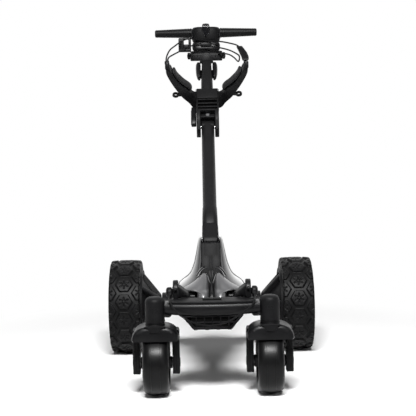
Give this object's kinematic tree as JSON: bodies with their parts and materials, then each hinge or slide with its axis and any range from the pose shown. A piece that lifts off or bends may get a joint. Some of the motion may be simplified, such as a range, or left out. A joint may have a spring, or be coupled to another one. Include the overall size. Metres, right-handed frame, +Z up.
{
  "type": "electric golf trolley",
  "caption": "Folding electric golf trolley: driven rear wheels, swivelling front casters, bell-shaped hull, leaning stem with bag cradle and T handle.",
  "frame": {"origin": "on the ground, below the middle of the trolley's footprint box", "axes": "+Z up, -Y towards the front casters, +X towards the right-hand side seen from the front"},
  "size_m": [0.6612, 1.084, 1.121],
  "materials": {
    "tyre_rubber": "matte moulded rubber",
    "caster_rubber": "smooth semi-gloss rubber",
    "black_plastic": "fine matte texture",
    "gloss_hull": "high gloss black",
    "gloss_grey": "gloss grey",
    "steel": "brushed",
    "black_tube": "black anodised, satin",
    "pad": "soft matte pad",
    "grip_rubber": "fine ribbed",
    "cord": "woven elastic cord"
  },
  "bodies": {
    "chassis": {"axle_housing": "black_plastic", "motor_L": "steel", "motor_R": "steel", "chassis_beam": "black_plastic", "hull_shell": "gloss_hull", "stem_base_pin": "steel", "front_panel": "black_plastic", "nose_fairing": "gloss_grey", "bumper": "black_plastic", "tray": "black_plastic", "caster_post_L": "black_plastic", "caster_post_R": "black_plastic", "bag_arm_L": "black_plastic", "bag_arm_R": "black_plastic", "bag_knob_L": "black_plastic", "bag_knob_R": "black_plastic", "lower_cord": "cord"},
    "battery_pack": {"battery": "black_plastic"},
    "stem_lower": {"stem_sleeve": "black_plastic", "lower_tube": "black_tube", "hinge_pin": "steel"},
    "stem_upper": {"hinge_block": "black_plastic", "cradle_block": "black_plastic", "upper_tube": "black_tube", "upper_sleeve": "black_plastic", "cradle_arm_L": "black_plastic", "cradle_arm_R": "black_plastic", "cradle_pad_L": "pad", "cradle_pad_R": "pad", "handle_bracket": "black_plastic", "strap_front": "cord", "strap_rear": "cord", "strap_slider": "black_plastic", "strap_buckle": "black_plastic"},
    "latch": {"latch_lever": "black_plastic"},
    "button": {"release_button": "gloss_grey"},
    "handle": {"neck": "black_plastic", "console": "black_plastic", "grip_L": "grip_rubber", "grip_R": "grip_rubber"},
    "dial": {"speed_dial": "gloss_hull"},
    "power": {"power_button": "gloss_grey"},
    "rear_wheel_L": {"rear_tyre_L": "tyre_rubber", "rear_rim_L": "black_plastic", "drive_shaft_L": "steel"},
    "hub_release_cap_L": {"hub_cap_L": "black_tube"},
    "caster_L": {"caster_fork_L": "black_plastic", "caster_axle_L": "steel"},
    "caster_wheel_L": {"caster_rim_L": "black_plastic", "caster_tyre_L": "caster_rubber"},
    "knob_L": {"side_knob_L": "black_plastic"},
    "rear_wheel_R": {"rear_tyre_R": "tyre_rubber", "rear_rim_R": "black_plastic", "drive_shaft_R": "steel"},
    "hub_release_cap_R": {"hub_cap_R": "black_tube"},
    "caster_R": {"caster_fork_R": "black_plastic", "caster_axle_R": "steel"},
    "caster_wheel_R": {"caster_rim_R": "black_plastic", "caster_tyre_R": "caster_rubber"},
    "knob_R": {"side_knob_R": "black_plastic"}
  },
  "joints": [
    {"name": "rear_wheel_L_spin", "type": "hinge", "parent": "chassis", "child": "rear_wheel_L", "pos_m": [-0.28, 0.138, 0.1525], "axis": [1, 0, 0], "continuous": true},
    {"name": "hub_release_L", "type": "slide", "parent": "rear_wheel_L", "child": "hub_release_cap_L", "axis": [1, 0, 0], "range_m": [0, 0.003], "stiffness_N_per_m": 600},
    {"name": "caster_L_swivel", "type": "hinge", "parent": "chassis", "child": "caster_L", "pos_m": [-0.156, -0.487, 0.22], "axis": [0, 0, 1], "continuous": true},
    {"name": "caster_wheel_L_spin", "type": "hinge", "parent": "caster_L", "child": "caster_wheel_L", "pos_m": [-0.156, -0.452, 0.09], "axis": [1, 0, 0], "continuous": true},
    {"name": "rear_wheel_R_spin", "type": "hinge", "parent": "chassis", "child": "rear_wheel_R", "pos_m": [0.28, 0.138, 0.1525], "axis": [1, 0, 0], "continuous": true},
    {"name": "hub_release_R", "type": "slide", "parent": "rear_wheel_R", "child": "hub_release_cap_R", "axis": [-1, 0, 0], "range_m": [0, 0.003], "stiffness_N_per_m": 600},
    {"name": "caster_R_swivel", "type": "hinge", "parent": "chassis", "child": "caster_R", "pos_m": [0.156, -0.487, 0.22], "axis": [0, 0, 1], "continuous": true},
    {"name": "caster_wheel_R_spin", "type": "hinge", "parent": "caster_R", "child": "caster_wheel_R", "pos_m": [0.156, -0.452, 0.09], "axis": [1, 0, 0], "continuous": true},
    {"name": "battery_lift", "type": "slide", "parent": "chassis", "child": "battery_pack", "axis": [0, 0, 1], "range_m": [0, 0.07]},
    {"name": "stem_base_fold", "type": "hinge", "parent": "chassis", "child": "stem_lower", "pos_m": [0, -0.07386, 0.38968], "axis": [-1, 0, 0], "range_deg": [0, 30]},
    {"name": "stem_mid_fold", "type": "hinge", "parent": "stem_lower", "child": "stem_upper", "pos_m": [0, 0.22376, 0.74436], "axis": [1, 0, 0], "range_deg": [0, 90]},
    {"name": "latch_lever_throw", "type": "hinge", "parent": "stem_upper", "child": "latch", "pos_m": [-0.047, 0.27453, 0.80488], "axis": [1, 0, 0], "range_deg": [0, 30]},
    {"name": "release_button_press", "type": "slide", "parent": "stem_upper", "child": "button", "axis": [0, 0.766, -0.6428], "range_m": [0, 0.003], "stiffness_N_per_m": 300},
    {"name": "handle_tilt", "type": "hinge", "parent": "stem_upper", "child": "handle", "pos_m": [0, 0.435, 1.003], "axis": [1, 0, 0], "range_deg": [-20, 0]},
    {"name": "speed_dial_turn", "type": "hinge", "parent": "handle", "child": "dial", "pos_m": [0, 0.464, 1.11], "axis": [0, 0, 1], "range_deg": [-135, 135]},
    {"name": "power_button_press", "type": "slide", "parent": "handle", "child": "power", "axis": [0, 0, -1], "range_m": [0, 0.002], "stiffness_N_per_m": 300},
    {"name": "side_knob_L_turn", "type": "hinge", "parent": "stem_upper", "child": "knob_L", "pos_m": [-0.058, 0.435, 1.003], "axis": [1, 0, 0], "continuous": true},
    {"name": "side_knob_R_turn", "type": "hinge", "parent": "stem_upper", "child": "knob_R", "pos_m": [0.058, 0.435, 1.003], "axis": [1, 0, 0], "continuous": true}
  ]
}
